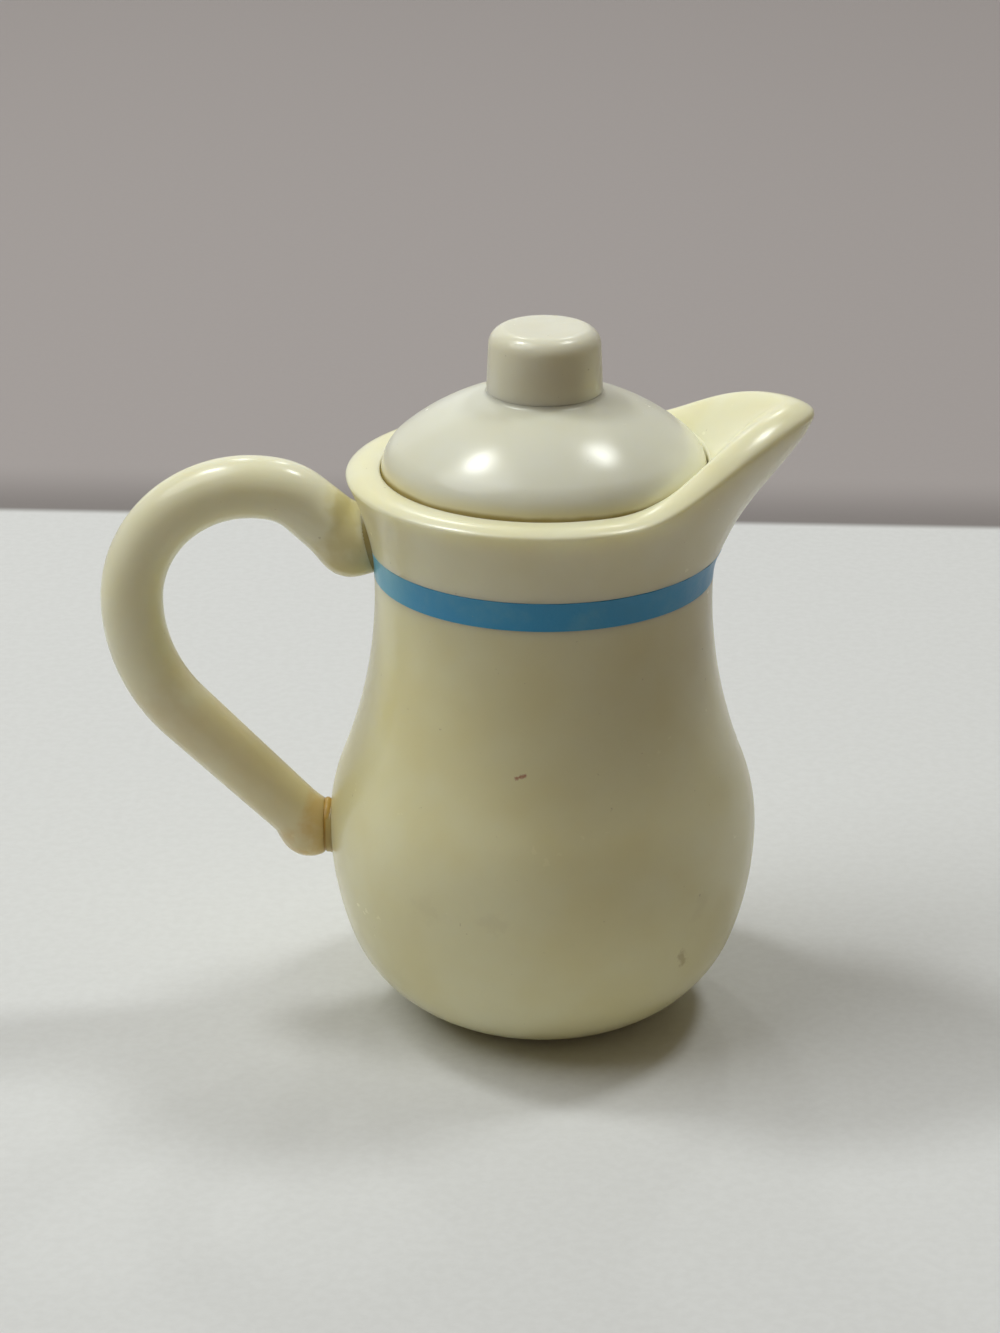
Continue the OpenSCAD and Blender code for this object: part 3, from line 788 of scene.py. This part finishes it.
def moulded_plastic(name, fresh, aged, marks=(), edge_tint_z=None):
    """Glossy moulded plastic: uneven yellowing, fine specks, scuffs in its gloss and a faint unevenness.

    At a height, if one is given, a yellow tint and a dark line of painted shade with grime sit at the edge
    and fade out above it.
    """
    shader = Shader(name)
    yellowing = shader.step(shader.noise(14), 0.35, 0.7)
    colour = shader.mix(yellowing, fresh, aged)
    mottle = shader.step(shader.noise(1.6, 4, seed=7), 0.35, 0.75, 0.0, 0.12)
    colour = shader.mix(mottle, colour, aged)
    specks = shader.step(shader.noise(0.45, 2, seed=3), 0.74, 0.80, 0.0, 0.28)
    colour = shader.mix(specks, colour, BROWN)
    for a, b, width, soft, tint, strength in marks:
        share = shader.math("MULTIPLY", shader.near_line(a, b, width, soft), strength)
        colour = shader.mix(share, colour, tint)
    # A yellow tint, and a dark line of painted shade of the gap below the edge, with grime
    if edge_tint_z is not None:
        ragged = shader.step(shader.noise(4, seed=17), 0.3, 0.7, -0.05, 0.05)
        above = shader.math("ADD", shader.math("SUBTRACT", shader.axes()["Z"], edge_tint_z), ragged)
        at_edge = shader.step(above, -0.5, -0.2)
        for top, fade, strength, tint in EDGE_TINT_AND_GAP_SHADE:
            share = shader.math("MULTIPLY", at_edge, shader.step(above, top, fade, strength, 0.0))
            colour = shader.mix(share, colour, tint)
    scuffs = shader.step(shader.noise(1.2, 5, stretch=(1, 1, 1.6), seed=11), 0.55, 0.8, 0.0, 0.04)
    haze = shader.step(shader.noise(6, seed=5), 0.3, 0.7, 0.20, 0.26)
    grain = shader.noise(0.35, seed=9)
    waves = shader.noise(3.5, 1, seed=13)
    height = shader.math("ADD", shader.math("MULTIPLY", grain, 0.03), waves)
    shader.bump(height, 0.04)
    shader.set(
        Base_Color=colour,
        Roughness=shader.math("ADD", haze, scuffs),
        IOR=1.47,
        Subsurface_Weight=0.8,
        Subsurface_Radius=(1.0, 0.95, 0.8),
        Subsurface_Scale=1.2 * MM,
    )
    return shader.material


def blue_ink():
    """Satin printed ink with thin spots and a fine grain, and a painted reflection that makes it paler teal
    near the handle.
    """
    sheen_teal_x = -12
    sheen_end_x = -8
    shader = Shader("blue_ink")
    ink = srgb(55, 158, 212)
    thin = srgb(110, 184, 208)
    sheen_teal = srgb(132, 200, 206)
    worn = shader.step(shader.noise(2.5, 5, seed=4), 0.45, 0.8, 0.0, 0.35)
    colour = shader.mix(worn, ink, thin)
    # Paler teal toward the handle side: painted reflection
    sheen_share = shader.step(shader.axes()["X"], sheen_teal_x, sheen_end_x, 0.5, 0.0)
    colour = shader.mix(sheen_share, colour, sheen_teal)
    chips = shader.step(shader.noise(0.4, seed=8), 0.76, 0.82, 0.0, 0.6)
    colour = shader.mix(chips, colour, CREAM)
    shader.bump(shader.noise(0.3), 0.02)
    gloss = shader.step(shader.noise(1.5, seed=6), 0.3, 0.7, 0.30, 0.42)
    shader.set(Base_Color=colour, Roughness=gloss, IOR=1.47)
    return shader.material


def glue(name, outer, inner, point, out, change):
    """Aged glue at a joint: uneven amber, lumpy and half glossy.

    Its outer tone, on the handle's side, turns to the inner one at a distance out of the boss face.
    """
    soft = 0.15
    shader = Shader(name)
    from_face = shader.vector("SUBTRACT", shader.place, tuple(point))
    distance = shader.vector("DOT_PRODUCT", from_face, tuple(out))
    uneven = shader.step(shader.noise(0.9, 4), 0.35, 0.7, -0.05, 0.05)
    distance = shader.math("ADD", distance, uneven)
    colour = shader.mix(shader.step(distance, change - soft, change + soft), inner, outer)
    shader.bump(shader.noise(0.5, 4, seed=2), 0.06)
    gloss = shader.step(shader.noise(0.7, seed=6), 0.3, 0.7, 0.3, 0.5)
    shader.set(Base_Color=colour, Roughness=gloss, IOR=1.5)
    return shader.material


def joint_mark(boss, out, inner, outer, width, soft, tint, strength):
    """Mark round a joint's axis, between two distances out of the boss face."""
    return tuple(boss + inner * out), tuple(boss + outer * out), width, soft, tint, strength


def bowl_plastic():
    """Cream of the bowl, with the marks on the belly and the amber stain on the lower boss."""
    boss_stain = joint_mark(LOWER_BOSS, LOWER_OUT, 0, 0.4, LOWER_FACE_R + 0.1, 0.8, DARK_AMBER, 0.85)
    return moulded_plastic("cream_bowl", CREAM, CREAM_AGED, BELLY_MARKS + [boss_stain])


def collar_plastic():
    """Cream of the collar, painted paler than the bowl's as painted light on the collar and the scoop, with
    a dark line of painted shade in the crevice where the handle meets it.
    """
    # Dark line round the upper joint: painted shade in the crevice where the handle meets the collar
    seam_shade = joint_mark(UPPER_BOSS, UPPER_OUT, -0.35, 1, UPPER_FACE_R + 0.06, 0.12, DARK_SHADE_AND_GRIME, 0.9)
    return moulded_plastic("cream_collar", COLLAR_LIT_CREAM, COLLAR_LIT_CREAM_AGED, [seam_shade])


def handle_plastic():
    """Cream of the handle, painted paler than the bowl's as painted light on its top, which turns tan
    toward its lower end and is stained at both joints; the olive stain at the upper joint is partly painted
    warm reflected light.
    """
    tan_start = (-25.0, 0.0, 22.0)
    tan = (tan_start, tuple(LOWER_BOSS), 2.4, 5.0, HANDLE_TAN, 0.8)
    lower_stain = joint_mark(LOWER_BOSS, LOWER_OUT, 0, 0.4, LOWER_FACE_R, 1.2, AMBER, 0.6)
    # Olive tint round the upper joint: a glue stain, partly painted warm reflected light
    upper_stain_and_reflection = joint_mark(UPPER_BOSS, UPPER_OUT, 0, 0.6, UPPER_FACE_R - 0.1, 2.0, OLIVE, 0.6)
    return moulded_plastic("cream_handle", HANDLE_LIT_CREAM, HANDLE_LIT_CREAM_AGED, [tan, lower_stain, upper_stain_and_reflection])


def build_pot():
    """Pieces of the pot."""
    make_piece("bowl_shell", bowl_shells(), bowl_plastic(), "pot", "bowl")
    make_piece("collar_shell", collar_shells(), collar_plastic(), "pot", "collar")
    make_piece("neck_stripe", stripe_shells(), blue_ink(), "pot", "stripe")
    make_piece("handle_bar", handle_shells(), handle_plastic(), "pot", "handle")
    upper = glue_shells(UPPER_BOSS, UPPER_OUT, UPPER_GLUE_R, UPPER_GLUE_BACK)
    lower = glue_shells(
        LOWER_BOSS, LOWER_OUT, LOWER_GLUE_R, LOWER_GLUE_BACK, LOWER_GLUE_BULGE, LOWER_GLUE_FILL,
    )
    olive_glue = glue("upper_glue_line", GLUE_OLIVE, GLUE_BROWN, UPPER_BOSS, UPPER_OUT, -0.4)
    amber_glue = glue("lower_glue_line", GLUE_AMBER, GLUE_GOLD, LOWER_BOSS, LOWER_OUT, -0.1)
    make_piece("upper_glue_bead", upper, olive_glue, "pot", "upper_glue")
    make_piece("lower_glue_bead", lower, amber_glue, "pot", "lower_glue")


def build_lid():
    """Pieces of the lid, with a yellow tint and a dark line of painted shade and grime round its edge."""
    white_lid = moulded_plastic("white_lid", LID_WHITE, LID_WHITE_AGED, edge_tint_z=DOME_Z)
    white_knob = moulded_plastic("white_knob", KNOB_WARMED_WHITE, KNOB_WARMED_WHITE_AGED)
    make_piece("lid_dome", lid_shells(), white_lid, "lid", "lid")
    make_piece("lid_knob", knob_shells(), white_knob, "lid", "knob")


def floor_material():
    """Plain pale floor with a grey ground far behind the object.

    In front and on the right it throws back little light, like the dim room there, but it looks as pale.
    """
    edge_start = 105.3
    edge_end = 107.3
    edge_slant = 0.04
    fade_start = 106
    fade_end = 122
    front_dim = -72
    front_pale = -52
    right_pale = 60
    right_dim = 80
    shader = Shader("floor")
    axes = shader.axes()
    depth = shader.math("ADD", axes["Y"], shader.math("MULTIPLY", axes["X"], edge_slant))
    front = shader.step(axes["Y"], front_dim, front_pale, 1.0, 0.0)
    right = shader.step(axes["X"], right_pale, right_dim)
    rays = shader.add("ShaderNodeLightPath").outputs
    seen = shader.math("ADD", rays["Is Camera Ray"], rays["Is Glossy Ray"])
    seen = shader.math("ADD", seen, rays["Is Transmission Ray"], clamp=True)
    unseen = shader.math("SUBTRACT", 1.0, seen)
    dim = shader.math("MULTIPLY", shader.math("MAXIMUM", front, right), unseen)
    colour = shader.mix(dim, FLOOR_PALE, FLOOR_DIM)
    ground = shader.mix(shader.step(depth, fade_start, fade_end), GROUND_NEAR, GROUND_FAR)
    colour = shader.mix(shader.step(depth, edge_start, edge_end), colour, ground)
    weave = shader.step(shader.noise(0.8), 0.3, 0.7, 0.0, 0.06)
    colour = shader.mix(weave, colour, FLOOR_THREAD)
    shader.set(Base_Color=colour, Roughness=0.8)
    return shader.material


def build_floor():
    """Floor as one round sheet."""
    radius = 2500.0
    bm = bmesh.new()
    rim = [bm.verts.new(Vector(p) * MM) for p in revolve([(radius, 0)], segments=96)[0]]
    bm.faces.new(rim)
    mesh = bpy.data.meshes.new("floor")
    bm.to_mesh(mesh)
    bm.free()
    mesh.materials.append(floor_material())
    floor = bpy.data.objects.new("floor", mesh)
    bpy.context.scene.collection.objects.link(floor)


def aim(thing, place, target):
    """Puts a lamp or the camera at a place and points it at a target, both in metres."""
    thing.location = place
    thing.rotation_euler = (Vector(target) - Vector(place)).to_track_quat("-Z", "Y").to_euler()


def add_lamp(name, direction, distance, size, watts, colour):
    """Soft round lamp that shines on the middle of the object from a direction."""
    target = Vector((0, 0, 0.03))
    data = bpy.data.lights.new(name, "AREA")
    data.shape = "DISK"
    data.size = size
    data.energy = watts
    data.color = colour
    lamp = bpy.data.objects.new(name, data)
    bpy.context.scene.collection.objects.link(lamp)
    aim(lamp, target + Vector(direction).normalized() * distance, target)


NEUTRAL = (0.97, 1.0, 0.98)
COOL = (0.92, 1.0, 1.0)
ROOM_WARM = (1.0, 0.75, 0.43, 1.0)
ROOM_STRENGTH = 0.09

# Lamps: name, direction from the object, distance and size in metres, watts and colour
LAMPS = [
    ("lamp_left", (-0.424, 0.181, 0.887), 0.75, 0.13, 1.25, NEUTRAL),
    ("lamp_right", (0.361, 0.237, 0.902), 0.75, 0.13, 1.15, NEUTRAL),
    ("far_left", (-0.15, 0.734, 0.662), 0.9, 0.06, 0.3, NEUTRAL),
    ("far_right", (0.13, 0.740, 0.660), 0.9, 0.06, 0.3, NEUTRAL),
    ("ceiling", (0.0, 0.1, 1.0), 1.0, 1.0, 0.8, NEUTRAL),
    ("window", (-0.2, 0.93, 0.3), 1.1, 1.0, 0.8, COOL),
    ("high_left", (-0.55, -0.1, 0.83), 0.8, 0.6, 2.7, NEUTRAL),
]


def build_light():
    """The lamps, and a dim warm room that looks like a grey backdrop where it is seen."""
    for lamp in LAMPS:
        add_lamp(*lamp)
    world = bpy.data.worlds.new("room")
    world.use_nodes = True
    tree = world.node_tree
    room = tree.nodes["Background"]
    room.inputs["Color"].default_value = ROOM_WARM
    room.inputs["Strength"].default_value = ROOM_STRENGTH
    backdrop = tree.nodes.new("ShaderNodeBackground")
    backdrop.inputs["Color"].default_value = BACKDROP
    rays = tree.nodes.new("ShaderNodeLightPath").outputs
    mirrored = tree.nodes.new("ShaderNodeMath")
    tree.links.new(rays["Is Glossy Ray"], mirrored.inputs[0])
    tree.links.new(rays["Is Transmission Ray"], mirrored.inputs[1])
    seen = tree.nodes.new("ShaderNodeMath")
    tree.links.new(rays["Is Camera Ray"], seen.inputs[0])
    tree.links.new(mirrored.outputs[0], seen.inputs[1])
    choose = tree.nodes.new("ShaderNodeMixShader")
    tree.links.new(seen.outputs[0], choose.inputs[0])
    tree.links.new(room.outputs[0], choose.inputs[1])
    tree.links.new(backdrop.outputs[0], choose.inputs[2])
    tree.links.new(choose.outputs[0], tree.nodes["World Output"].inputs["Surface"])
    bpy.context.scene.world = world


def build_camera():
    """Camera at the photograph's angle, for an upright image of 1000 by 1333."""
    place = (0, -0.2401, 0.12595)
    target = (-0.0032, 0, 0.02705)
    data = bpy.data.cameras.new("camera")
    data.sensor_width = 36
    data.lens = 94.52
    data.clip_start = 0.01
    camera = bpy.data.objects.new("camera", data)
    bpy.context.scene.collection.objects.link(camera)
    aim(camera, place, target)
    bpy.context.scene.camera = camera


build_pot()
build_lid()
build_floor()
build_light()
build_camera()
bpy.context.scene.view_settings.view_transform = "Standard"
